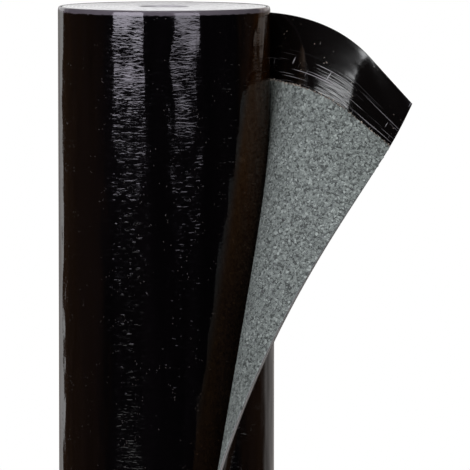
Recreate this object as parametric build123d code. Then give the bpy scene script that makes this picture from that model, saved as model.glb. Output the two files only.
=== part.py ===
from build123d import *
from math import sin, cos, radians, degrees
import os

# A roll of mineral-faced roofing felt stored on its end. The felt is wound with
# its granule face inwards, and the free end of the last turn peels off the roll
# at the top and curls outwards, so its granule face shows.
# Origin: the roll's axis at the floor. Z runs up the axis, and -Y faces the
# side that the cut end of the felt lies on.

# The sheet as it is sold: 10 m by 1 m.
sheet_width = 1000.0
sheet_thick = 4.0
selvedge_wide = 75.0
selvedge_thick = 3.3
granule_set_back = 1.0

# The roll as it is wound.
roll_radius = 122.25
pitch = 4.5
bore_radius = 25.0
lap_step = 3.6
lap_run = 45.0
lap_angle = 205.0
lap_middle_run = 0.45
lap_middle_step = 0.42
lap_past = 0.5

# The grooves between the turns that show on both ends.
groove_wide = 0.9
groove_deep = 4.0
groove_lead = 20.0
arcs_per_turn = 8
cut_past = 10.0

# Where the last turn stops being one piece with the roll.
end_angle = 6.5
join_angle = 165.0

# The peeled corner. Every value that changes down the felt is written as its
# value at the foot of the peel, its value at the top edge and a power.
peel_height = 870.0
leave_sweep = 73.0
leave_extra = 36.0
leave_power = 5.0
curl_foot = 8.0
curl_top = 120.0
curl_power = 1.15
bend_foot = 22.0
bend_top = 77.0
bend_power = 1.6
tilt_foot = 13.0
tilt_top = 52.0
tilt_power = 5.5

# The last turn has slipped down a little, so its top edge lies below the others.
top_drop = 8.5
slip_run = 40.0

# The loose part starts a few degrees inside the roll, just under its surface.
hidden_run = 6.0
hidden_inset = 0.12
edge_inset = 0.3
layer_overlap = 0.7

# The points of its curved faces. Rows lie closer together near the top edge.
points_along = 33
rows_down = 29
row_crowding = 1.3
normal_step = 0.5


def spiral_radius(angle):
    return roll_radius - pitch * (angle - end_angle) / 360.0


def spiral_point(angle, offset=0.0):
    r = spiral_radius(angle) + offset
    return (r * sin(radians(angle)), -r * cos(radians(angle)))


def spiral_edges(start, stop, offset=0.0):
    count = max(1, int(round(abs(stop - start) / (360.0 / arcs_per_turn))))
    step = (stop - start) / count
    edges = []
    for i in range(count):
        a = start + i * step
        b = a + step
        m = 0.5 * (a + b)
        edges.append(
            Edge.make_three_point_arc(
                spiral_point(a, offset), spiral_point(m, offset), spiral_point(b, offset)
            )
        )
    return edges


def closed_face(edges):
    return Face(Wire(edges))


def core_face():
    # The wound body without the loose part of the last turn.
    first = join_angle
    last = join_angle + 360.0
    edges = spiral_edges(first, last)
    edges.append(Edge.make_line(spiral_point(last), spiral_point(first)))
    return closed_face(edges)


def groove_face():
    # A narrow spiral ribbon that follows the joint between two turns.
    first = join_angle + 360.0 - groove_lead
    turns = (roll_radius - bore_radius - sheet_thick) / pitch
    last = end_angle + 360.0 * turns
    gap = pitch - sheet_thick
    outer = spiral_edges(first, last, gap + 0.5 * (groove_wide - gap))
    inner = spiral_edges(last, first, -0.5 * (groove_wide - gap))
    edges = outer + [Edge.make_line(outer[-1] @ 1, inner[0] @ 0)]
    edges = edges + inner + [Edge.make_line(inner[-1] @ 1, outer[0] @ 0)]
    return closed_face(edges)


def lap_face():
    # The wedge beside the felt's inner end, where the second turn bridges it.
    a = radians(lap_angle)
    b = radians(lap_angle + lap_run)
    m = radians(lap_angle + lap_middle_run * lap_run)
    tip = bore_radius - lap_past
    high = bore_radius + lap_step
    mid = bore_radius + lap_middle_step * lap_step
    p1 = (tip * sin(a), -tip * cos(a))
    p2 = (high * sin(a), -high * cos(a))
    p3 = (mid * sin(m), -mid * cos(m))
    p4 = (tip * sin(b), -tip * cos(b))
    edges = [Edge.make_line(p1, p2), Edge.make_three_point_arc(p2, p3, p4), Edge.make_line(p4, p1)]
    return closed_face(edges)


def clamp(value, low, high):
    return max(low, min(high, value))


def felt_point(s, v):
    # Middle of the felt at s along from the cut end and v down from the top edge.
    q = clamp(1.0 - v / peel_height, 0.0, 1.0)
    sweep = leave_sweep * q + leave_extra * q ** leave_power
    leave = end_angle + sweep
    curl = radians(curl_foot + (curl_top - curl_foot) * q ** curl_power)
    tilt = radians(tilt_foot + (tilt_top - tilt_foot) * q ** tilt_power)
    bend = bend_foot + (bend_top - bend_foot) * q ** bend_power
    free = roll_radius * radians(sweep)
    slip = (join_angle - end_angle - degrees(s / roll_radius)) / slip_run
    drop = edge_inset + top_drop * clamp(slip, 0.0, 1.0)
    z0 = sheet_width - drop - v * (sheet_width - drop - edge_inset) / sheet_width
    if s >= free:
        angle = end_angle + degrees(s / roll_radius)
        r = spiral_radius(angle) - hidden_inset - 0.5 * sheet_thick
        return Vector(r * sin(radians(angle)), -r * cos(radians(angle)), z0)
    along = free - s
    r = spiral_radius(leave) - hidden_inset - 0.5 * sheet_thick
    a = radians(leave)
    back = Vector(-cos(a), -sin(a), 0.0)
    out = Vector(sin(a), -cos(a), 0.0)
    up = Vector(0.0, 0.0, 1.0)
    turned = min(along / bend, curl)
    bent = min(along, bend * curl)
    flat = along - bent
    axis = up * cos(tilt) - back * sin(tilt)
    lead = back * cos(tilt) + up * sin(tilt)
    point = out * r + up * z0
    point = point - axis * (sin(tilt) * bent)
    point = point + (lead * sin(turned) + out * (1.0 - cos(turned))) * (bend * cos(tilt))
    heading = axis * (-sin(tilt)) + (lead * cos(curl) + out * sin(curl)) * cos(tilt)
    return point + heading * flat


def felt_normal(s, v):
    h = normal_step
    ds = felt_point(s + h, v) - felt_point(s - h, v)
    dv = felt_point(s, v + h) - felt_point(s, v - h)
    n = dv.cross(ds)
    return n.normalized()


def felt_skin(v_low, v_high, offset, cut_set):
    # One face of the felt, at a distance off its middle, lofted through curves
    # that each run along the sheet from its cut end to inside the roll.
    length = roll_radius * radians(join_angle + hidden_run - end_angle)
    shares = [i / (points_along - 1) for i in range(points_along)]
    rows = []
    for j in range(rows_down):
        v = v_low + (v_high - v_low) * (j / (rows_down - 1)) ** row_crowding
        row = []
        for share in shares:
            s = cut_set + (length - cut_set) * share
            row.append(felt_point(s, v) + felt_normal(s, v) * offset)
        rows.append(Wire([Edge.make_spline(row, parameters=shares)]))
    return Shell.make_loft(rows).faces()[0]


def side_face(edge_a, face_b):
    middle = edge_a.position_at(0.5)
    edge_b = min(face_b.edges(), key=lambda e: (e.position_at(0.5) - middle).length)
    return Face.make_surface_from_curves(edge_a, edge_b)


def felt_ribbon(v_low, v_high, offset_a, offset_b, cut_set):
    face_a = felt_skin(v_low, v_high, offset_a, cut_set)
    face_b = felt_skin(v_low, v_high, offset_b, cut_set)
    sides = [side_face(edge, face_b) for edge in face_a.edges()]
    return Solid(Shell([face_a, face_b] + sides))


def build_roll():
    core = extrude(core_face(), sheet_width, dir=(0, 0, 1))
    through = sheet_width + 2.0 * cut_past
    core = core - Pos(0, 0, 0.5 * sheet_width) * Cylinder(bore_radius, through)
    lap = extrude(lap_face(), through, dir=(0, 0, 1))
    core = core - Pos(0, 0, -cut_past) * lap
    groove = extrude(groove_face(), groove_deep + cut_past, dir=(0, 0, 1))
    core = core - Pos(0, 0, sheet_width - groove_deep) * groove
    core = core - Pos(0, 0, -cut_past) * groove
    return core


def build_sheet():
    # Film, felt and bitumen run to every edge. The granules stop short of the
    # selvedge, and a little short of the cut end and the bottom edge.
    film_side = 0.5 * sheet_thick
    bare_side = film_side - selvedge_thick
    base = felt_ribbon(0.0, sheet_width, film_side, bare_side, 0.0)
    granules = felt_ribbon(
        selvedge_wide,
        sheet_width - granule_set_back,
        bare_side + layer_overlap,
        film_side - sheet_thick,
        granule_set_back,
    )
    return base + granules


if __name__ == "__main__":
    os.makedirs("parts", exist_ok=True)
    roll = build_roll() + build_sheet()
    roll = roll.solids()[0]
    roll.label = "felt_roll"
    export_step(roll, "parts/felt_roll.step")
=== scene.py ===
# %% [markdown]
# # A roll of roofing felt with a peeled corner
#
# Roofing felt is a fleece soaked in bitumen. One face carries a thin glossy film that melts under the
# torch, and the other carries slate granules. This lesson dresses one roll of it, which stands on its end
# with the free corner of its last turn curling away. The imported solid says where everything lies, and
# each piece that we make here lies there too.

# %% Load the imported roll
import math

import bpy
import numpy as np
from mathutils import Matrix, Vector


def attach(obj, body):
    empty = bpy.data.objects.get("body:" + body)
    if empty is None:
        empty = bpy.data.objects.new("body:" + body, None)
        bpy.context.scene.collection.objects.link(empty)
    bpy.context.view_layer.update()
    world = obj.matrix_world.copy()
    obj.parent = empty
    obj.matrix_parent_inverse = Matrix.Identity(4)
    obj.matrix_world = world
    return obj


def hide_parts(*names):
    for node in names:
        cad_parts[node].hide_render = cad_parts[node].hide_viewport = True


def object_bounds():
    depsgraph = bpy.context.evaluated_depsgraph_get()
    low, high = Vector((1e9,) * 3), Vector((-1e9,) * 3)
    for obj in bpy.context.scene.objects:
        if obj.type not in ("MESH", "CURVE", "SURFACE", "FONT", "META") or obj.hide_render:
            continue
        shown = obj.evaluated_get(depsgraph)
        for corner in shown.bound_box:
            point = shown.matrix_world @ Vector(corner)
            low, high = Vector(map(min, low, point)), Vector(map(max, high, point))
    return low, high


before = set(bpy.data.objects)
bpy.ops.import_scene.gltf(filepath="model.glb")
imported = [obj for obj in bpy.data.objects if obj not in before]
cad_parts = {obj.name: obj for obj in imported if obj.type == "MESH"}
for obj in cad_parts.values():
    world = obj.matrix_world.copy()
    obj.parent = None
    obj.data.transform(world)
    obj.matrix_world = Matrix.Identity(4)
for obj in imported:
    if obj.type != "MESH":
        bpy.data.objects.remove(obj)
cad_low, cad_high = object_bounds()
print("packed roll, metres:", tuple(round(c, 3) for c in cad_high - cad_low))

# %% [markdown]
# ## The camera
#
# The photograph was taken from far away with a long lens, because the roll's sides run parallel in it. The
# camera looks down by only a few degrees, so the round top end shows as a flat ellipse. We place the camera
# by one point that the picture shows: the middle of the top end.

# %% Set up the camera
picture_px = 470
px_per_metre = 900.0
top_centre_px = (165.3, 5.7)
camera_tilt = math.radians(2.55)
camera_distance = 6.0
roll_height = cad_high.z - cad_low.z

top_centre = Vector((0.0, 0.0, roll_height))
to_right = Vector((1.0, 0.0, 0.0))
forward = Vector((0.0, math.cos(camera_tilt), -math.sin(camera_tilt)))
upward = to_right.cross(forward)
px_span = camera_distance * px_per_metre
half_frame = picture_px / 2
aim_right = (half_frame - top_centre_px[0]) / px_span
aim_down = (half_frame - top_centre_px[1]) / px_span
aim = forward + to_right * aim_right - upward * aim_down

camera_data = bpy.data.cameras.new("camera")
camera_data.sensor_width = 36.0
camera_data.lens = camera_data.sensor_width * px_span / picture_px
camera_data.clip_end = 100.0
camera = bpy.data.objects.new("camera", camera_data)
bpy.context.scene.collection.objects.link(camera)
camera.location = top_centre - forward * camera_distance
camera.rotation_euler = aim.to_track_quat("-Z", "Y").to_euler()
bpy.context.scene.camera = camera
print("camera at", tuple(round(c, 2) for c in camera.location), "lens", round(camera_data.lens), "mm")

# %% [markdown]
# ## Sizes of the felt
#
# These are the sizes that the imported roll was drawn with, now in metres. Angles run round the axis from
# the front, where the cut end lies, towards the right.

# %% Name the sizes
sheet_width = 1.0
sheet_thick = 0.0040
selvedge_wide = 0.075
selvedge_thick = 0.0033
granule_set_back = 0.001
roll_radius = 0.12225
pitch = 0.0045
bore_radius = 0.025
end_angle = math.radians(6.5)
join_angle = math.radians(165.0)
hidden_inset = 0.00012
edge_inset = 0.0003
top_drop = 0.0085
slip_run = math.radians(40.0)
full_turn = 2.0 * math.pi
thick_mm, pitch_mm = round(sheet_thick * 1000, 1), round(pitch * 1000, 1)
print("the felt is", thick_mm, "mm thick, and", pitch_mm, "mm from turn to turn")

# %% [markdown]
# ## The shape of the peeled corner
#
# A felt sheet bends but hardly stretches. Each height of the sheet leaves the roll along its tangent at its
# own angle, bends outwards with its own radius, and then runs on straight. The fold leans, so the corner
# also tips downwards. Each of these has a value at the foot of the peel, a value at the top edge, and a
# power that says how fast it grows between them.

# %% Name the values of the peel
peel_height = 0.870
leave_sweep, leave_extra, leave_power = math.radians(73.0), math.radians(36.0), 5.0
curl_foot, curl_top, curl_power = math.radians(8.0), math.radians(120.0), 1.15
bend_foot, bend_top, bend_power = 0.022, 0.077, 1.6
tilt_foot, tilt_top, tilt_power = math.radians(13.0), math.radians(52.0), 5.5


def blend_up(foot, top, power, q):
    return foot + (top - foot) * q ** power


def spiral_radius(angle):
    return roll_radius - pitch * (angle - end_angle) / full_turn


def free_length(v):
    q = np.clip(1.0 - v / peel_height, 0.0, 1.0)
    return roll_radius * (leave_sweep * q + leave_extra * q ** leave_power)


def around(angle):
    zero = np.zeros_like(angle)
    out = np.stack([np.sin(angle), -np.cos(angle), zero], -1)
    back = np.stack([-np.cos(angle), -np.sin(angle), zero], -1)
    return out, back


print("at the top edge", round(float(free_length(0.0)), 3), "m of the felt has come away")

# %% [markdown]
# One formula now gives any point of the felt's middle: s runs along the felt from its cut end, and v runs
# down from its top edge. NumPy works it out for a whole grid of points at once.

# %% Write the formula of the sheet
def sheet_middle(s, v):
    s, v = np.broadcast_arrays(np.asarray(s, float), np.asarray(v, float))
    q = np.clip(1.0 - v / peel_height, 0.0, 1.0)
    free = free_length(v)
    leave = end_angle + free / roll_radius
    curl = blend_up(curl_foot, curl_top, curl_power, q)
    tilt = blend_up(tilt_foot, tilt_top, tilt_power, q)
    bend = blend_up(bend_foot, bend_top, bend_power, q)
    slip = np.clip((join_angle - end_angle - s / roll_radius) / slip_run, 0.0, 1.0)
    drop = edge_inset + top_drop * slip
    height = sheet_width - drop - v * (sheet_width - drop - edge_inset) / sheet_width
    up = np.array([0.0, 0.0, 1.0])
    # The part that still lies on the roll.
    angle = end_angle + s / roll_radius
    out, back = around(angle)
    radius = spiral_radius(angle) - hidden_inset - 0.5 * sheet_thick
    wrapped = out * radius[..., None] + up * height[..., None]
    # The part that has come away.
    out, back = around(leave)
    radius = spiral_radius(leave) - hidden_inset - 0.5 * sheet_thick
    along = np.clip(free - s, 0.0, None)
    turned = np.minimum(along / bend, curl)
    bent = np.minimum(along, bend * curl)
    flat = along - bent
    sin_t, cos_t = np.sin(tilt)[..., None], np.cos(tilt)[..., None]
    axis = up * cos_t - back * sin_t
    lead = back * cos_t + up * sin_t
    point = out * radius[..., None] + up * height[..., None]
    point = point - axis * sin_t * bent[..., None]
    arc = lead * np.sin(turned)[..., None] + out * (1.0 - np.cos(turned))[..., None]
    point = point + arc * bend[..., None] * cos_t
    heading = -axis * sin_t + (lead * np.cos(curl)[..., None] + out * np.sin(curl)[..., None]) * cos_t
    point = point + heading * flat[..., None]
    return np.where((s >= free)[..., None], wrapped, point)


def sheet_normal(s, v, step=0.0008):
    # Points out of the film face, which is the outer face of the roll.
    along = sheet_middle(s + step, v) - sheet_middle(s - step, v)
    down = sheet_middle(s, v + step) - sheet_middle(s, v - step)
    normal = np.cross(down, along)
    return normal / np.linalg.norm(normal, axis=-1, keepdims=True)


tip = sheet_middle(0.0, 0.0)
print("the tip of the corner is at", tuple(round(float(c), 3) for c in tip))

# %% [markdown]
# ## Skins and meshes
#
# A real sheet has two faces and a cut edge all round. We make such a closed shape from two grids of points,
# one for each face, and join them along their borders. Blender would make the same with a plane and a
# Solidify modifier, but here the felt gets thinner along its selvedge, so we place both faces ourselves.
# Each corner of each face also gets a UV value, which is its place on the flat felt in metres.

# %% Make closed sheets from two grids
def joined_grids(name, outer, inner, place, outer_slot, inner_slots, edge_slot):
    columns, rows = outer.shape[:2]
    count = columns * rows
    index = np.arange(count).reshape(columns, rows)
    a, b, c, d = index[:-1, :-1], index[1:, :-1], index[1:, 1:], index[:-1, 1:]
    front = np.stack([a, d, c, b], -1).reshape(-1, 4)
    back = np.stack([a, b, c, d], -1).reshape(-1, 4) + count
    ring = np.concatenate([index[:-1, 0], index[-1, :-1], index[:0:-1, -1], index[0, :0:-1]])
    following = np.roll(ring, -1)
    rim = np.stack([ring, following, following + count, ring + count], -1)
    faces = np.concatenate([front, back, rim])
    points = np.concatenate([outer.reshape(-1, 3), inner.reshape(-1, 3)])
    mesh = bpy.data.meshes.new(name)
    mesh.from_pydata(points.tolist(), [], faces.tolist())
    front_slots = np.full(len(front), outer_slot)
    rim_slots = np.full(len(rim), edge_slot)
    slots = np.concatenate([front_slots, inner_slots.reshape(-1), rim_slots])
    mesh.polygons.foreach_set("material_index", slots.astype(np.int32))
    corner_vertices = np.zeros(len(mesh.loops), np.int32)
    mesh.loops.foreach_get("vertex_index", corner_vertices)
    flat_place = np.concatenate([place.reshape(-1, 2), place.reshape(-1, 2)])
    uv = mesh.uv_layers.new(name="felt_place")
    uv.data.foreach_set("uv", flat_place[corner_vertices].astype(np.float32).reshape(-1))
    depth = mesh.attributes.new("felt_depth", "FLOAT", "POINT")
    depth.data.foreach_set("value", np.repeat([0.0, 1.0], count).astype(np.float32))
    mesh.polygons.foreach_set("use_smooth", np.ones(len(faces), bool))
    mesh.update()
    return mesh


def linked(name, mesh, materials):
    for material in materials:
        mesh.materials.append(material)
    piece = bpy.data.objects.new(name, mesh)
    bpy.context.scene.collection.objects.link(piece)
    return piece


print("sheet helpers ready")

# %% [markdown]
# ## Helpers for nodes
#
# Materials, the world and Geometry Nodes are all trees of nodes. In the editor we would drag them in by
# hand. In a script a few short methods do it: each adds a node, links what comes in, and gives back what
# goes out, so that a pattern reads like a sum. The same methods serve all three kinds of tree. One of them,
# levels, turns a value into a smooth ramp, which falls where its low end is above its high end.

# %% Short ways to add nodes
class Nodes:
    """A tree of nodes, and short ways to add to it."""

    def __init__(self, tree):
        self.tree = tree

    def node(self, kind, links=None, **settings):
        node = self.tree.nodes.new(kind)
        for label, value in settings.items():
            setattr(node, label, value)
        for key, value in (links or {}).items():
            if isinstance(value, bpy.types.NodeSocket):
                self.tree.links.new(value, node.inputs[key])
            else:
                node.inputs[key].default_value = value
        return node

    def math(self, operation, *values):
        return self.node("ShaderNodeMath", dict(enumerate(values)), operation=operation).outputs[0]

    def swing(self, noise, size):
        """Moves a noise so that it swings about zero, as far as the size says."""
        return self.math("MULTIPLY", self.math("SUBTRACT", noise, 0.5), size)

    def levels(self, value, low, high, dark=0.0, light=1.0):
        """Goes smoothly from dark to light as the value goes from low to high."""
        links = {"Value": value, "From Min": low, "From Max": high, "To Min": dark, "To Max": light}
        return self.node("ShaderNodeMapRange", links, interpolation_type="SMOOTHSTEP").outputs[0]

    def blend(self, share, first, second):
        """A colour that goes from the first to the second as the share grows."""
        first, second = [(*c, 1.0) if isinstance(c, tuple) else c for c in (first, second)]
        return self.node("ShaderNodeMix", {0: share, 6: first, 7: second}, data_type="RGBA").outputs[2]


print("node helpers ready")

# %% [markdown]
# A finish is one material. Its patterns read either the place on the flat felt, so that they bend with the
# sheet and follow its edges, or the place inside the piece. On the flat felt a noise that is much finer in
# one direction than in the other becomes streaks, which is how crinkles and scratches are made below.

# %% A helper for materials
class Finish(Nodes):
    """One material, with the patterns that its nodes read."""

    def __init__(self, name, colour, roughness):
        self.material = bpy.data.materials.new(name)
        self.material.use_nodes = True
        super().__init__(self.material.node_tree)
        self.surface = self.tree.nodes["Principled BSDF"]
        self.surface.inputs["Base Color"].default_value = (*colour, 1.0)
        self.surface.inputs["Roughness"].default_value = roughness

    def felt_place(self, along=1.0, down=1.0, shift=(0.0, 0.0)):
        flat = self.node("ShaderNodeUVMap", uv_map="felt_place").outputs[0]
        links = {"Vector": flat, "Location": (*shift, 0.0), "Scale": (along, down, 1.0)}
        return self.node("ShaderNodeMapping", links).outputs[0]

    def given_value(self, name):
        return self.node("ShaderNodeAttribute", attribute_name=name).outputs["Fac"]

    def noise(self, place, detail, roughness, distortion):
        links = {"Vector": place, "Scale": 1.0, "Detail": detail}
        links.update({"Roughness": roughness, "Distortion": distortion})
        return self.node("ShaderNodeTexNoise", links).outputs["Fac"]

    def felt_noise(self, along, down, detail=1.0, roughness=0.5, distortion=0.0, shift=(0.0, 0.0)):
        """A noise on the flat felt. It has so many waves a metre along the felt, and so many down it."""
        return self.noise(self.felt_place(along, down, shift), detail, roughness, distortion)

    def solid_noise(self, fineness, detail=2.0, roughness=0.5):
        """A noise inside the piece, equally fine in every direction."""
        inside = self.node("ShaderNodeTexCoord").outputs["Object"]
        links = {"Vector": inside, "Scale": (fineness, fineness, fineness)}
        return self.noise(self.node("ShaderNodeMapping", links).outputs[0], detail, roughness, 0.0)

    def specks(self, fineness, size, patch_fineness, patch_low, patch_high, shift=(0.0, 0.0)):
        """One on small round dots that keep to a few patches, and zero between them."""
        place = self.felt_place(fineness, fineness)
        cells = self.node("ShaderNodeTexVoronoi", {"Vector": place, "Scale": 1.0})
        dots = self.levels(cells.outputs["Distance"], size, size * 0.6)
        patches = self.felt_noise(patch_fineness, patch_fineness, shift=shift)
        return self.math("MULTIPLY", dots, self.levels(patches, patch_low, patch_high))

    def relief(self, height, distance, under=None):
        links = {"Height": height, "Distance": distance}
        if under is not None:
            links["Normal"] = under
        return self.node("ShaderNodeBump", links).outputs[0]

    def wear(self, label, value):
        self.tree.links.new(value, self.surface.inputs[label])


print("material helper ready")

# %% [markdown]
# ## The film on the bitumen
#
# The outer face is a thin plastic film on black bitumen. It's glossy, with fine crinkles that run across
# the roll, and they break each mirrored light into small dashes. Real crinkles could be modelled, but they
# are a tenth of a millimetre high, so Bump nodes do it. They are stacked: a long wave makes the edges of
# the mirrored bands waver, finer ones break the bands up, and sparse specks stand for grit under the film.

# %% Crinkle the film
film_black, film_roughness = (0.0012, 0.0009, 0.0011), 0.06
film = Finish("bitumen_film", film_black, film_roughness)
wander = film.felt_noise(45.0, 13.0, shift=(1.0, 3.0))
broad = film.felt_noise(9.0, 60.0)
fine = film.felt_noise(105.0, 400.0, detail=2.0, distortion=0.5)
ridges = film.levels(film.felt_noise(75.0, 310.0, shift=(5.0, 2.0)), 0.60, 0.72)
film_specks = film.specks(270.0, 0.16, 60.0, 0.54, 0.62, shift=(4.0, 9.0))
film_heights = [
    (wander, 0.0017), (broad, 0.00012), (fine, 0.00010), (ridges, 0.00004), (film_specks, 0.00014),
]
crinkled = None
for pattern, height in film_heights:
    crinkled = film.relief(pattern, height, crinkled)
film.wear("Normal", crinkled)
print("the film has", len(film_heights), "layers of relief")

# %% [markdown]
# The film is not equally glossy everywhere. Large patches differ a little, and small streaks where the
# film has been rubbed are nearly dull. The rougher of the two wins at each point.

# %% Dull the film in patches
glossiest, least_glossy, rubbed_roughness = film_roughness * 0.75, film_roughness * 1.4, 0.13
patches = film.felt_noise(9.0, 5.0, detail=3.0)
glossy = film.levels(patches, 0.3, 0.7, glossiest, least_glossy)
rubbed_streaks = film.felt_noise(85.0, 300.0, detail=2.0, roughness=0.6, shift=(2.0, 8.0))
dull = film.levels(rubbed_streaks, 0.50, 0.62, 0.0, rubbed_roughness)
film.wear("Roughness", film.math("MAXIMUM", glossy, dull))
print("the film's roughness goes from", round(glossiest, 3), "to", rubbed_roughness)

# %% [markdown]
# Black bitumen is never one black. It has faint streaks down the roll. A brown band that leans along the
# peel and fades downwards is a painted reflection, and it also tints what the film mirrors there. Along the
# sheet's two long edges the film is a lighter grey, and a little noise frays the line where that strip
# ends.

# %% Colour the film
# The brown and its tint below are a painted reflection under the peel, not a stain.
painted_reflection_brown, painted_reflection_tint, white = (0.0075, 0.0026, 0.0004), (1.0, 0.48, 0.16), (1.0, 1.0, 1.0)
speck_colour, edge_grey = (0.13, 0.11, 0.09), (0.085, 0.075, 0.085)
reflection_lean, reflection_level = 0.20, 0.19
felt_axes = film.node("ShaderNodeSeparateXYZ", {0: film.felt_place()}).outputs
along, down = felt_axes["X"], felt_axes["Y"]

streaks = film.levels(film.felt_noise(55.0, 2.0, detail=2.0), 0.35, 0.65)
streaked = film.blend(streaks, tuple(0.5 * c for c in film_black), film_black)
# The band that leans along the peel paints that reflection: it browns the film and tints what it mirrors.
leaning = film.math("MULTIPLY_ADD", film.math("SUBTRACT", down, reflection_level), reflection_lean, along)
under_peel = film.math("MULTIPLY", film.levels(leaning, 0.832, 0.850), film.levels(leaning, 0.930, 0.900))
fading = film.math("MULTIPLY", under_peel, film.levels(down, 0.36, 0.12))
film.wear("Specular Tint", film.blend(under_peel, white, painted_reflection_tint))
with_painted_reflection = film.blend(fading, streaked, painted_reflection_brown)
dotted = film.blend(film.math("MULTIPLY", film_specks, 0.25), with_painted_reflection, speck_colour)

# The film is painted a lighter grey along its two long edges.
from_edge = film.math("MINIMUM", down, film.math("SUBTRACT", sheet_width, down))
frayed = film.math("ADD", from_edge, film.swing(fine, 0.003))
grey_edge_share = film.math("MULTIPLY", film.levels(frayed, 0.0058, 0.0046), 0.8)
film.wear("Base Color", film.blend(grey_edge_share, dotted, edge_grey))
print("film made with", len(film.tree.nodes), "nodes")

# %% [markdown]
# ## The selvedge
#
# A strip along one edge carries no granules, so that the next sheet can be welded to it. Its film was
# scratched along its length when the roll was wound, most of all beside the granules. The scratches are a
# noise that is drawn out far along the strip, and only its highest ridges count. A second noise makes the
# few nicks that run across.

# %% Scratch the selvedge
selvedge_black, scratch_pale, grit_brown = (0.0014, 0.0010, 0.0009), (0.34, 0.33, 0.34), (0.2, 0.17, 0.14)
smooth_roughness, scratch_roughness = 0.10, 0.32
scratches_from, scratches_full = 0.036, 0.052
selvedge = Finish("selvedge_film", selvedge_black, smooth_roughness)
down_strip = selvedge.node("ShaderNodeSeparateXYZ", {0: selvedge.felt_place()}).outputs["Y"]
near_granules = selvedge.levels(down_strip, scratches_from, scratches_full)
lines = selvedge.levels(selvedge.felt_noise(8.0, 560.0, detail=2.0, roughness=0.6), 0.60, 0.66)
nicks = selvedge.levels(selvedge.felt_noise(260.0, 26.0, shift=(3.0, 1.0)), 0.70, 0.74)
scored = selvedge.math("MULTIPLY", selvedge.math("MAXIMUM", lines, nicks), near_granules)
grit = selvedge.specks(190.0, 0.15, 31.0, 0.50, 0.60)
marked = selvedge.blend(selvedge.math("MULTIPLY", scored, 0.6), selvedge_black, scratch_pale)
selvedge.wear("Base Color", selvedge.blend(selvedge.math("MULTIPLY", grit, 0.5), marked, grit_brown))
selvedge.wear("Roughness", selvedge.levels(scored, 0.0, 1.0, smooth_roughness, scratch_roughness))
print("the scratches begin", round(selvedge_wide - scratches_from, 3), "m above the granules")

# %% [markdown]
# The relief under the scratches is calm near the sheet's edge. Towards the granules the film is drawn into
# fine lines, which spread a mirrored light across the strip.

# %% Draw the selvedge into lines
drawn = selvedge.felt_noise(20.0, 430.0, detail=2.0, shift=(7.0, 3.0))
drawn = selvedge.math("MULTIPLY", drawn, near_granules)
calm_height, drawn_height, scratch_depth = 0.0002, 0.00022, 0.00008
calm = selvedge.relief(selvedge.felt_noise(30.0, 60.0), calm_height)
drawn_relief = selvedge.relief(drawn, drawn_height, calm)
selvedge.wear("Normal", selvedge.relief(selvedge.math("ADD", scored, grit), scratch_depth, drawn_relief))
print("selvedge made with", len(selvedge.tree.nodes), "nodes")

# %% [markdown]
# ## The bed of the granules
#
# Between the flakes a little dark bitumen shows, with finer slate dust in it. The dust is too fine to
# model, so two noises mix the colours and a bump roughens it.

# %% Make the bed
bed_dark, dust_dark, dust_pale = (0.03, 0.03, 0.03), (0.055, 0.062, 0.058), (0.15, 0.168, 0.160)
dust_height = 0.0009
slate_bed = Finish("slate_bed", dust_pale, 0.9)
crumbs = slate_bed.felt_noise(700.0, 700.0, detail=3.0, roughness=0.7)
patchy = slate_bed.levels(slate_bed.felt_noise(160.0, 160.0, detail=2.0), 0.30, 0.50)
dust = slate_bed.blend(slate_bed.levels(crumbs, 0.3, 0.7), dust_dark, dust_pale)
slate_bed.wear("Base Color", slate_bed.blend(patchy, bed_dark, dust))
slate_bed.wear("Normal", slate_bed.relief(crumbs, dust_height))
print("bed made with", len(slate_bed.tree.nodes), "nodes")

# %% [markdown]
# Crushed slate breaks into flakes of many greys. Each flake will carry its own shade as a value from zero
# to one, and the finish turns it into a colour: a few are dark, a few are light, and most lie between.

# %% Make the flakes' finish
cleft_height, cleft_shade = 0.0003, 0.3


def flake_finish(name, dark, middle, light, roughness):
    finish = Finish(name, middle, roughness)
    cleft = finish.solid_noise(900.0)
    tone = finish.math("ADD", finish.given_value("flake_shade"), finish.swing(cleft, cleft_shade))
    toned = finish.blend(finish.levels(tone, 0.08, 0.36), dark, middle)
    finish.wear("Base Color", finish.blend(finish.levels(tone, 0.70, 1.05), toned, light))
    finish.wear("Normal", finish.relief(cleft, cleft_height))
    return finish


slate = flake_finish(
    "slate_flake", dark=(0.034, 0.041, 0.036), middle=(0.126, 0.145, 0.131), light=(0.235, 0.265, 0.242),
    roughness=0.72,
)
tan_crumb = flake_finish(
    "tan_crumb", dark=(0.05, 0.045, 0.04), middle=(0.20, 0.165, 0.13), light=(0.46, 0.40, 0.33),
    roughness=0.85,
)
print("slate made with", len(slate.tree.nodes), "nodes")

# %% [markdown]
# ## The cut edges
#
# A cut edge shows the layers of the felt: film and bitumen, the pale fleece in the middle, bitumen again,
# and the granules. Each mesh stores how deep a point lies in the felt, from zero at the film to one at
# the granules, and the layers read that value. The ends of the wound turns have the same layers and dust
# in far paler colours, which are painted light: the white that they mirror when seen from low down.

# %% Make the cut edges
fleece_from, fleece_to, granules_from = (0.26, 0.34), (0.50, 0.58), (0.80, 0.86)
dust_share, dust_grey = 0.35, (0.20, 0.19, 0.185)


def layered_edge(name, fleece, bitumen, granules, roughness, grain_size):
    finish = Finish(name, bitumen, roughness)
    grain = finish.solid_noise(420.0, detail=3.0, roughness=0.6)
    uneven = finish.math("ADD", finish.given_value("felt_depth"), finish.swing(grain, 0.35))
    coat = finish.blend(finish.levels(uneven, *fleece_from), bitumen, fleece)
    coat = finish.blend(finish.levels(uneven, *fleece_to), coat, bitumen)
    coat = finish.blend(finish.levels(uneven, *granules_from), coat, granules)
    dusty = finish.levels(finish.solid_noise(60.0, detail=3.0), 0.35, 0.75)
    finish.wear("Base Color", finish.blend(finish.math("MULTIPLY", dusty, dust_share), coat, dust_grey))
    finish.wear("Normal", finish.relief(grain, grain_size))
    return finish


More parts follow.
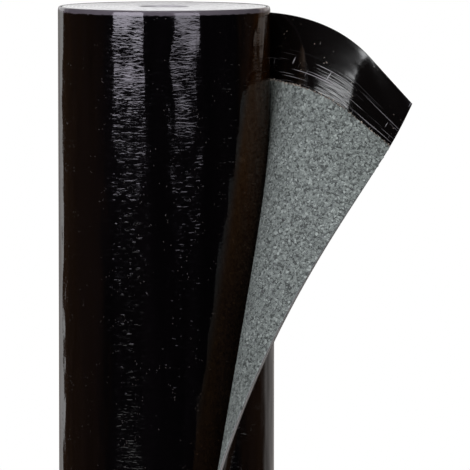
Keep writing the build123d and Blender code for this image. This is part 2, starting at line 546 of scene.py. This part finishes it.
cut_felt = layered_edge(
    "cut_felt", fleece=(0.17, 0.163, 0.147), bitumen=(0.050, 0.047, 0.043), granules=(0.15, 0.163, 0.155),
    roughness=0.6, grain_size=0.0004,
)
# The pale colours of the turn ends are painted light: they stand in for the white that the ends mirror when
# seen from low down.
turn_ends = layered_edge(
    "turn_ends", fleece=(0.76, 0.75, 0.75), bitumen=(0.34, 0.335, 0.34), granules=(0.66, 0.66, 0.66),
    roughness=0.20, grain_size=0.00004,
)
print("cut edge made with", len(cut_felt.tree.nodes), "nodes")

# %% [markdown]
# ## The last turn and its peeled corner
#
# One long sheet makes the last turn, the peeled corner and the turn that shows behind the corner. Its grid
# isn't even: columns lie closer where the felt has come away, and rows lie closer along the two long edges
# and where the granules end, so that those edges can be rounded.

# %% Lay out the grid of the sheet
sheet_end = roll_radius * math.radians(518.5)
free_columns, wrapped_columns, sheet_rows = 64, 150, 165
bevel = 0.0005
first_column, first_row = 0.003, 0.008
shoulder_run, shoulder_fall = 0.0055, 0.0016
shoulder_rows = np.linspace(0.0012, shoulder_run, 6)
longest_free = float(free_length(0.0))
s_values = np.concatenate([
    [0.0, bevel],
    np.linspace(first_column, longest_free, free_columns),
    np.linspace(longest_free, sheet_end, wrapped_columns)[1:],
])
v_values = np.unique(np.concatenate([
    [0.0, bevel, selvedge_wide - bevel, selvedge_wide + bevel, sheet_width - bevel, sheet_width],
    shoulder_rows,
    sheet_width - shoulder_rows,
    np.linspace(first_row, sheet_width - first_row, sheet_rows),
]))
s_grid, v_grid = np.meshgrid(s_values, v_values, indexing="ij")
print("the grid has", s_values.size, "columns and", v_values.size, "rows")

# %% [markdown]
# Both faces are the middle of the felt moved along its normal. The film face gets a low bulge where it
# lies on the roll, because wound turns are never quite round, and its long edges fall away in a soft
# shoulder. The granule face is closer to the film along the selvedge.

# %% Place both faces
wave_height, wave_lift = 0.00012, 2.1
lying_run, bevel_share = 0.05, 0.6


def outer_wave(s, v):
    angle = end_angle + s / roll_radius
    slow = np.sin(2 * angle + 3.1 * v)
    quick = 0.6 * np.sin(5 * angle - 7.3 * v + 1.0)
    tall = 0.5 * np.sin(9.1 * v + 3 * angle)
    return wave_height * (slow + quick + tall + wave_lift)


middle = sheet_middle(s_grid, v_grid)
normal = sheet_normal(s_grid, v_grid)
lying = np.clip((s_grid - free_length(v_grid)) / lying_run, 0.0, 1.0)
proud = outer_wave(s_grid, v_grid) * lying
from_long_edge = np.minimum(v_grid, sheet_width - v_grid)
eased = np.clip(np.minimum(from_long_edge, s_grid) / bevel, 0.0, 1.0)
rounding = bevel * bevel_share * (1.0 - eased)
from_side = np.clip(from_long_edge / shoulder_run, 0.0, 1.0)
shoulder = shoulder_fall * (1.0 - np.sqrt(1.0 - (1.0 - from_side) ** 2))
thickness = np.where(v_grid < selvedge_wide, selvedge_thick, sheet_thick)
outer_offset = 0.5 * sheet_thick - rounding + proud - shoulder
inner_offset = 0.5 * sheet_thick - thickness + rounding + proud
outer_points = middle + normal * outer_offset[..., None]
inner_points = middle + normal * inner_offset[..., None]
print("the sheet bulges by up to", round(float(proud.max()) * 1000, 2), "mm")

# %% [markdown]
# The two grids become one closed mesh with four finishes: film on the outer face, the bed of the granules
# and the selvedge's film on the inner face, and the layers of the felt on the cut edges.

# %% Join the faces into one sheet
film_slot, bed_slot, selvedge_slot, edge_slot = range(4)
cell_v = 0.5 * (v_grid[:-1, :-1] + v_grid[1:, 1:])
inner_slots = np.where(cell_v < selvedge_wide, selvedge_slot, bed_slot)
flat_places = np.stack([s_grid, v_grid], -1)
sheet_mesh = joined_grids(
    "outer_sheet", outer_points, inner_points, flat_places, film_slot, inner_slots, edge_slot
)
sheet_finishes = (film, slate_bed, selvedge, cut_felt)
outer_sheet = linked("outer_sheet", sheet_mesh, [finish.material for finish in sheet_finishes])
print("outer sheet:", len(sheet_mesh.polygons) * 2, "triangles")

# %% [markdown]
# ## The wound turns
#
# Under the last turn the felt goes on round and round down to the bore. That follows a rule, so Geometry
# Nodes make it. First come two helpers. One makes a tree with a named input for each size, and the other
# runs a tree on a mesh and keeps the result as a plain mesh. A modifier knows its inputs by the identifiers
# of their sockets, so the first helper keeps those beside the names.

# %% A helper for geometry trees
class Recipe(Nodes):
    """One Geometry Nodes tree, with a named input for each size."""

    def __init__(self, name, sizes):
        super().__init__(bpy.data.node_groups.new(name, "GeometryNodeTree"))
        sockets = self.tree.interface
        sockets.new_socket("Geometry", in_out="INPUT", socket_type="NodeSocketGeometry")
        sockets.new_socket("Geometry", in_out="OUTPUT", socket_type="NodeSocketGeometry")
        self.identifiers = {}
        for label, kind in sizes.items():
            socket = sockets.new_socket(label, in_out="INPUT", socket_type="NodeSocket" + kind)
            self.identifiers[label] = socket.identifier
        self.given = self.tree.nodes.new("NodeGroupInput").outputs
        self.result = self.tree.nodes.new("NodeGroupOutput")

    def vector(self, operation, *values):
        return self.node("ShaderNodeVectorMath", dict(enumerate(values)), operation=operation).outputs[0]

    def joined(self, **axes):
        """One vector from the values given for its axes."""
        return self.node("ShaderNodeCombineXYZ", axes).outputs[0]

    def dress(self, geometry, material):
        whole = self.node("GeometryNodeRealizeInstances", {"Geometry": geometry}).outputs[0]
        dressed = self.node("GeometryNodeSetMaterial", {"Geometry": whole, "Material": material})
        self.tree.links.new(dressed.outputs[0], self.result.inputs[0])


def grown(name, recipe, values, base=None):
    """Run a recipe on a mesh, and give the result as a plain mesh object."""
    start = bpy.data.objects.new(name + "_start", base or bpy.data.meshes.new(name + "_start"))
    bpy.context.scene.collection.objects.link(start)
    modifier = start.modifiers.new("recipe", "NODES")
    modifier.node_group = recipe.tree
    for label, value in values.items():
        modifier[recipe.identifiers[label]] = value
    evaluated = start.evaluated_get(bpy.context.evaluated_depsgraph_get())
    mesh = bpy.data.meshes.new_from_object(evaluated)
    mesh.name = name
    start.modifiers.remove(modifier)
    bpy.data.objects.remove(start)
    piece = bpy.data.objects.new(name, mesh)
    bpy.context.scene.collection.objects.link(piece)
    mesh.calc_loop_triangles()
    print(name + ":", len(mesh.loop_triangles), "triangles")
    return piece


print("geometry helpers ready")

# %% [markdown]
# A spiral curve is the line that the middle of the felt follows. It stores how far along it each point is,
# because the unevenness of the ends follows the winding.

# %% Draw the spiral
turns = Recipe("wound_turns", {
    "Outer radius": "Float", "Hole radius": "Float", "Turns": "Float", "Thickness": "Float",
    "Width": "Float", "Edge rounding": "Float", "Uneven edge": "Float", "Uneven hole": "Float",
    "Start angle": "Float", "Material": "Material",
})
given = turns.given
spiral = turns.node("GeometryNodeCurveSpiral", {
    "Resolution": 64, "Rotations": given["Turns"], "Start Radius": given["Outer radius"],
    "End Radius": given["Hole radius"], "Height": 0.0, "Reverse": True,
})
placed = turns.node("GeometryNodeTransform", {
    "Geometry": spiral.outputs[0], "Rotation": turns.joined(Z=given["Start angle"]),
})
upright = turns.node("GeometryNodeSetCurveNormal", {"Curve": placed.outputs[0]}, mode="Z_UP")
measured = turns.node("GeometryNodeStoreNamedAttribute", {
    "Geometry": upright.outputs[0], "Name": "wound_length",
    "Value": turns.node("GeometryNodeSplineParameter").outputs["Length"],
})
print("the spiral takes", len(turns.tree.nodes), "nodes")

# %% [markdown]
# The felt's cross-section is a rectangle as tall as the sheet is wide, with rounded corners. Swept along
# the spiral it becomes the wound felt. It carries its depth value along for the layers of the cut edge.

# %% Sweep the felt along the spiral
section = turns.node("GeometryNodeCurvePrimitiveQuadrilateral", {
    "Width": given["Thickness"], "Height": given["Width"],
})
rounded = turns.node("GeometryNodeFilletCurve", {
    "Curve": section.outputs[0], "Count": 1, "Radius": given["Edge rounding"],
}, mode="POLY")
section_place = turns.node("GeometryNodeInputPosition").outputs[0]
across_felt = turns.node("ShaderNodeSeparateXYZ", {0: section_place}).outputs["X"]
layered = turns.node("GeometryNodeStoreNamedAttribute", {
    "Geometry": rounded.outputs[0], "Name": "felt_depth",
    "Value": turns.math("ADD", turns.math("DIVIDE", across_felt, given["Thickness"]), 0.5),
})
swept = turns.node("GeometryNodeCurveToMesh", {
    "Curve": measured.outputs[0], "Profile Curve": layered.outputs[0], "Fill Caps": True,
})
half_width = turns.math("MULTIPLY", given["Width"], 0.5)
lifted = turns.node("GeometryNodeTransform", {
    "Geometry": swept.outputs[0], "Translation": turns.joined(Z=half_width),
})
print("with its cross-section it takes", len(turns.tree.nodes), "nodes")

# %% [markdown]
# A real roll is not so neat. Along the winding the top edge rises and falls by less than a millimetre, and
# towards the bore the turns sway sideways, so that the hole isn't quite round.

# %% Make the turns uneven
place = turns.node("GeometryNodeInputPosition").outputs[0]
axes = turns.node("ShaderNodeSeparateXYZ", {0: place}).outputs
wound_length = turns.node("GeometryNodeInputNamedAttribute", {"Name": "wound_length"}).outputs["Attribute"]
ripple = turns.node("ShaderNodeTexNoise", {
    "W": wound_length, "Scale": 9.0, "Detail": 3.0,
}, noise_dimensions="1D").outputs[0]
on_top = turns.math("GREATER_THAN", axes["Z"], half_width)
rise = turns.math("MULTIPLY", turns.swing(ripple, given["Uneven edge"]), on_top)

level_place = turns.joined(X=axes["X"], Y=axes["Y"])
radius = turns.node("ShaderNodeVectorMath", {0: level_place}, operation="LENGTH").outputs["Value"]
inwards = turns.math("SUBTRACT", 1.0, turns.math("DIVIDE", radius, given["Outer radius"]))
cloud = turns.node("ShaderNodeTexNoise", {"Vector": level_place, "Scale": 14.0, "Detail": 1.0})
sway = turns.vector("SUBTRACT", cloud.outputs["Color"], (0.5, 0.5, 0.5))
sway_size = turns.math("MULTIPLY", inwards, given["Uneven hole"])
swayed = turns.node("ShaderNodeVectorMath", {0: sway, "Scale": sway_size}, operation="SCALE").outputs[0]
sideways = turns.vector("MULTIPLY", swayed, (1.0, 1.0, 0.0))
moved = turns.node("GeometryNodeSetPosition", {
    "Geometry": lifted.outputs[0], "Offset": turns.vector("ADD", sideways, turns.joined(Z=rise)),
})
turns.dress(moved.outputs[0], given["Material"])
print("the tree for the wound turns has", len(turns.tree.nodes), "nodes")

# %% [markdown]
# The tree is ready, so we run it with the sizes of this roll. The inner turns begin where the outer sheet
# ends, and follow the same spiral on towards the bore.

# %% Wind the inner turns
hole_slack = 0.0012
sheet_end_angle = end_angle + sheet_end / roll_radius
hole_middle = bore_radius + 0.5 * sheet_thick + hole_slack
first_middle = spiral_radius(sheet_end_angle) - hidden_inset - 0.5 * sheet_thick
wound_turns = grown("wound_turns", turns, {
    "Outer radius": float(first_middle), "Hole radius": hole_middle,
    "Turns": float((first_middle - hole_middle) / pitch), "Thickness": sheet_thick,
    "Width": sheet_width - 2 * edge_inset, "Edge rounding": 0.0003, "Uneven edge": 0.0007,
    "Uneven hole": 0.004, "Start angle": float(sheet_end_angle) - 0.5 * math.pi,
    "Material": turn_ends.material,
})

# %% [markdown]
# ## The slate flakes
#
# The granules are flakes of crushed slate, pressed into the hot bitumen. Geometry Nodes will scatter them,
# and they need a ground to lie on: a thin mesh of the granule face alone, from the cut end to a little way
# into the roll, and just under the surface so that each flake is partly sunk in.

# %% Lay out the ground for the flakes
def ground_mesh(name, v_low, v_high, columns, rows, lift, reach):
    share = np.linspace(0.0, 1.0, columns)[:, None]
    v = np.linspace(v_low, v_high, rows)[None, :]
    s = granule_set_back + share * (free_length(v) + reach - granule_set_back)
    v = np.broadcast_to(v, s.shape)
    points = sheet_middle(s, v) - sheet_normal(s, v) * (0.5 * sheet_thick + lift)
    index = np.arange(columns * rows).reshape(columns, rows)
    corners = [index[:-1, :-1], index[1:, :-1], index[1:, 1:], index[:-1, 1:]]
    mesh = bpy.data.meshes.new(name)
    mesh.from_pydata(points.reshape(-1, 3).tolist(), [], np.stack(corners, -1).reshape(-1, 4).tolist())
    mesh.update()
    return mesh


def mesh_area(mesh):
    return sum(face.area for face in mesh.polygons)


ground = ground_mesh(
    "slate_ground", v_low=selvedge_wide + 0.001, v_high=peel_height + 0.004, columns=60, rows=200,
    lift=-0.00012, reach=0.004,
)
print("granule face in view:", round(mesh_area(ground) * 1e4), "square centimetres")

# %% [markdown]
# The tree scatters points on the ground with a fixed seed and puts one flake on each. Random values turn
# the flake, size it and give it its own shade. A flake is a cone with its tip cut off and only a few
# corners, because there are thousands of them.

# %% Build the tree that scatters flakes
scatter = Recipe("scattered_flakes", {
    "Density": "Float", "Seed": "Int", "Corners": "Int", "Smallest": "Float", "Largest": "Float",
    "Thickness": "Float", "Tilt": "Float", "Stretch": "Float", "Material": "Material",
})
given = scatter.given
spread = scatter.node("GeometryNodeDistributePointsOnFaces", {
    "Mesh": given["Geometry"], "Density": given["Density"], "Seed": given["Seed"],
})


def chance(low, high, offset):
    links = {2: low, 3: high, "Seed": scatter.math("ADD", given["Seed"], offset)}
    return scatter.node("FunctionNodeRandomValue", links, data_type="FLOAT").outputs[1]


flake = scatter.node("GeometryNodeMeshCone", {
    "Vertices": given["Corners"], "Radius Top": 0.36, "Radius Bottom": 0.5, "Depth": 1.0,
})
lean_low = scatter.math("MULTIPLY", given["Tilt"], -1.0)
lean = scatter.joined(
    X=chance(lean_low, given["Tilt"], 1), Y=chance(lean_low, given["Tilt"], 2), Z=chance(0.0, full_turn, 3)
)
turned = scatter.node("FunctionNodeRotateRotation", {
    "Rotation": spread.outputs["Rotation"],
    "Rotate By": scatter.node("FunctionNodeEulerToRotation", {0: lean}).outputs[0],
}, rotation_space="LOCAL")
wide = chance(given["Smallest"], given["Largest"], 4)
flake_size = scatter.joined(
    X=scatter.math("MULTIPLY", wide, chance(1.0, given["Stretch"], 5)),
    Y=scatter.math("DIVIDE", wide, chance(1.0, given["Stretch"], 6)),
    Z=scatter.math("MULTIPLY", given["Thickness"], chance(0.7, 1.3, 7)),
)
laid = scatter.node("GeometryNodeInstanceOnPoints", {
    "Points": spread.outputs["Points"], "Instance": flake.outputs[0],
    "Rotation": turned.outputs[0], "Scale": flake_size,
})
shaded = scatter.node("GeometryNodeStoreNamedAttribute", {
    "Geometry": laid.outputs[0], "Name": "flake_shade", "Value": chance(0.0, 1.0, 8),
}, domain="INSTANCE")
flat = scatter.node("GeometryNodeSetShadeSmooth", {"Geometry": shaded.outputs[0], "Shade Smooth": False})
scatter.dress(flat.outputs[0], given["Material"])
print("the tree for the flakes has", len(scatter.tree.nodes), "nodes")

# %% [markdown]
# Two sizes of flakes lie over each other, as they do on the real felt. Large flat ones cover most of the
# bitumen, and small steep ones fill the gaps.

# %% Scatter the flakes
def flakes(name, base, count, finish, sizes):
    shared = {"Density": count / mesh_area(base), "Material": finish.material}
    return grown(name, scatter, {**shared, **sizes}, base)


slate_coarse = flakes("slate_coarse", ground.copy(), 11800, slate, {
    "Seed": 3, "Corners": 5, "Smallest": 0.0023, "Largest": 0.0052,
    "Thickness": 0.0006, "Tilt": 0.13, "Stretch": 1.35,
})
slate_fine = flakes("slate_fine", ground.copy(), 15800, slate, {
    "Seed": 11, "Corners": 4, "Smallest": 0.0010, "Largest": 0.0020,
    "Thickness": 0.0008, "Tilt": 0.35, "Stretch": 1.30,
})

# %% [markdown]
# ## The ragged border of the granules
#
# Where the granules stop beside the selvedge, pale crumbs make a thin ragged line. The same tree scatters
# them on a narrow strip of ground.

# %% Scatter the border crumbs
border_ground = ground_mesh(
    "border_ground", v_low=selvedge_wide - 0.0016, v_high=selvedge_wide + 0.0012, columns=120, rows=3,
    lift=-0.0004, reach=0.002,
)
granule_border = flakes("granule_border", border_ground, 280, tan_crumb, {
    "Seed": 5, "Corners": 4, "Smallest": 0.0006, "Largest": 0.0014,
    "Thickness": 0.0007, "Tilt": 0.30, "Stretch": 1.9,
})

# %% [markdown]
# ## The floor
#
# A pale round floor catches the roll's shadow. The film doesn't mirror it, because the photograph shows no
# floor: what the film mirrors is painted into the world further down.

# %% Lay the floor
floor_radius, floor_corners = 3.0, 96


def disc_mesh(name, radius, steps):
    angles = [full_turn * i / steps for i in range(steps)]
    ring = [(radius * math.cos(angle), radius * math.sin(angle), 0.0) for angle in angles]
    mesh = bpy.data.meshes.new(name)
    mesh.from_pydata(ring, [], [list(range(steps))])
    return mesh


floor_paint = Finish("pale_floor", (0.8, 0.8, 0.8), 0.9)
floor = linked("floor", disc_mesh("floor", floor_radius, floor_corners), [floor_paint.material])
floor.visible_glossy = False
print("the floor is", 2 * floor_radius, "m across")

# %% [markdown]
# ## The lights
#
# Two tall soft lights hang in front of the roll, and each one shows as an upright band on the glossy
# film. Their lower edges are near the top of the roll, so each band fades on its way down. A long strip
# higher up brightens the granules and the top end. A light's power grows with its area, so we give its
# brightness and work the power out.

# %% Hang the lights
def soft_light(name, azimuth, rise, target, distance, width, height, radiance, colour):
    """A flat light that faces a point, from the azimuth and the angle above it that we give."""
    turn, lift = math.radians(azimuth), math.radians(rise)
    away = Vector((math.sin(turn) * math.cos(lift), -math.cos(turn) * math.cos(lift), math.sin(lift)))
    data = bpy.data.lights.new(name, "AREA")
    data.shape = "RECTANGLE"
    data.size = width
    data.size_y = height
    data.energy = radiance * math.pi * width * height
    data.color = colour
    light = bpy.data.objects.new(name, data)
    light.location = Vector(target) + away * distance
    light.rotation_euler = (-away).to_track_quat("-Z", "Y").to_euler()
    light.visible_camera = False
    bpy.context.scene.collection.objects.link(light)
    print(name, "power", round(data.energy, 1), "W")


lilac, cool_white = (0.91, 0.87, 1.0), (0.96, 0.98, 1.0)
box_low, box_high = 0.855, 2.05
box_middle, box_height = (0.0, 0.0, 0.5 * (box_low + box_high)), box_high - box_low
soft_light(
    "left_softbox", azimuth=-37.8, rise=0.0, target=box_middle, distance=2.5,
    width=1.50, height=box_height, radiance=6.9, colour=lilac,
)
soft_light(
    "right_softbox", azimuth=20.7, rise=0.0, target=box_middle, distance=2.5,
    width=1.22, height=box_height, radiance=4.4, colour=lilac,
)
soft_light(
    "overhead_strip", azimuth=-3.0, rise=52.5, target=(0.18, -0.05, 0.92), distance=2.3,
    width=2.6, height=0.26, radiance=9.0, colour=cool_white,
)

# %% [markdown]
# ## The world
#
# The world does three jobs. The camera sees plain white in it. Matt surfaces get a soft fill from above.
# And the film mirrors a simple studio, which is painted by direction: white behind the roll and dark in
# front. We start with the white. It shows on the film only along the roll's outline, where we look along
# the surface, and it is narrower on the left than on the right.

# %% Paint the white behind the roll
world = bpy.data.worlds.new("studio")
bpy.context.scene.world = world
world.use_nodes = True
sky = Nodes(world.node_tree)
sky.tree.nodes.clear()
ray = sky.node("ShaderNodeLightPath").outputs
direction = sky.node("ShaderNodeTexCoord").outputs["Generated"]
toward = sky.node("ShaderNodeSeparateXYZ", {0: direction}).outputs

on_right = sky.levels(toward["X"], -0.05, 0.05)
on_left = sky.math("SUBTRACT", 1.0, on_right)
above = sky.levels(toward["Z"], 0.0, 0.03)
below = sky.math("SUBTRACT", 1.0, above)
left_edge = sky.levels(toward["Y"], 0.815, 0.83)
left_white = sky.math("MULTIPLY", left_edge, sky.levels(toward["Y"], 0.82, 1.0, 0.76, 0.16))
right_white = sky.levels(toward["Y"], 0.50, 0.80, 0.0, 0.28)
left_share = sky.math("MULTIPLY", left_white, on_left)
low_white = sky.math("ADD", sky.math("MULTIPLY", right_white, on_right), left_share)
high_white = sky.math("MULTIPLY", sky.levels(toward["Y"], 0.60, 0.80), sky.levels(toward["Z"], 0.75, 0.45))
low_share = sky.math("MULTIPLY", low_white, below)
behind = sky.math("ADD", sky.math("MULTIPLY", high_white, above), low_share)
print("the white behind takes", len(sky.tree.nodes), "nodes")

# %% [markdown]
# At the sides a faint brown glow stands for the room beside the set. Rays that point steeply down meet
# three soft bands, so that the film also shows its gloss when the roll is seen from above.

# %% Paint the glow and the low bands
band_turn = math.radians(120.0)
glow_left = sky.math("MULTIPLY", sky.levels(toward["Y"], -0.55, -0.10), on_left)
glow_right = sky.math("MULTIPLY", sky.levels(toward["Y"], -0.15, 0.15), on_right)
glow = sky.math("MULTIPLY", sky.math("MAXIMUM", glow_left, glow_right), below)
azimuth = sky.math("ARCTAN2", toward["X"], sky.math("MULTIPLY", toward["Y"], -1.0))
three_bands = sky.math("COSINE", sky.math("MULTIPLY_ADD", azimuth, 3.0, band_turn))
steeply_down = sky.levels(toward["Z"], -0.185, -0.25)
low_bands = sky.math("MULTIPLY", sky.levels(three_bands, 0.55, 0.95), steeply_down)
band_strength = sky.math("MULTIPLY_ADD", low_bands, 1.3, 1.0)
print("with the glow and the bands it takes", len(sky.tree.nodes), "nodes")

# %% [markdown]
# Last, the Light Path node tells which kind of ray has met the world. A mirrored ray gets the studio, a ray
# from the camera gets plain white, and so would one that passes through glass. All others get the fill.

# %% Put the world together
room_dark, room_brown = (0.004, 0.004, 0.005), (0.060, 0.032, 0.017)
room = sky.blend(sky.math("MAXIMUM", behind, low_bands), sky.blend(glow, room_dark, room_brown), white)
overhead = sky.levels(toward["Z"], 0.30, 0.80, 0.10, 1.3)


def background(colour, strength):
    return sky.node("ShaderNodeBackground", {"Color": colour, "Strength": strength}).outputs[0]


def either(share, first, second):
    return sky.node("ShaderNodeMixShader", {0: share, 1: first, 2: second}).outputs[0]


plain_white = (*white, 1.0)
studio = either(ray["Is Glossy Ray"], background(plain_white, overhead), background(room, band_strength))
seen = sky.math("MAXIMUM", ray["Is Camera Ray"], ray["Is Transmission Ray"])
sky.node("ShaderNodeOutputWorld", {"Surface": either(seen, studio, background(plain_white, 1.0))})
print("the world has", len(sky.tree.nodes), "nodes")

# %% [markdown]
# ## Tie the pieces to the roll
#
# Every piece rides on the roll's one body and stands for its solid.

# %% Tie the pieces to the imported roll
bpy.context.scene.view_settings.view_transform = "Standard"
felt_pieces = [outer_sheet, wound_turns, slate_coarse, slate_fine, granule_border]
for piece in felt_pieces:
    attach(piece, "root")
    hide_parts("felt_roll")
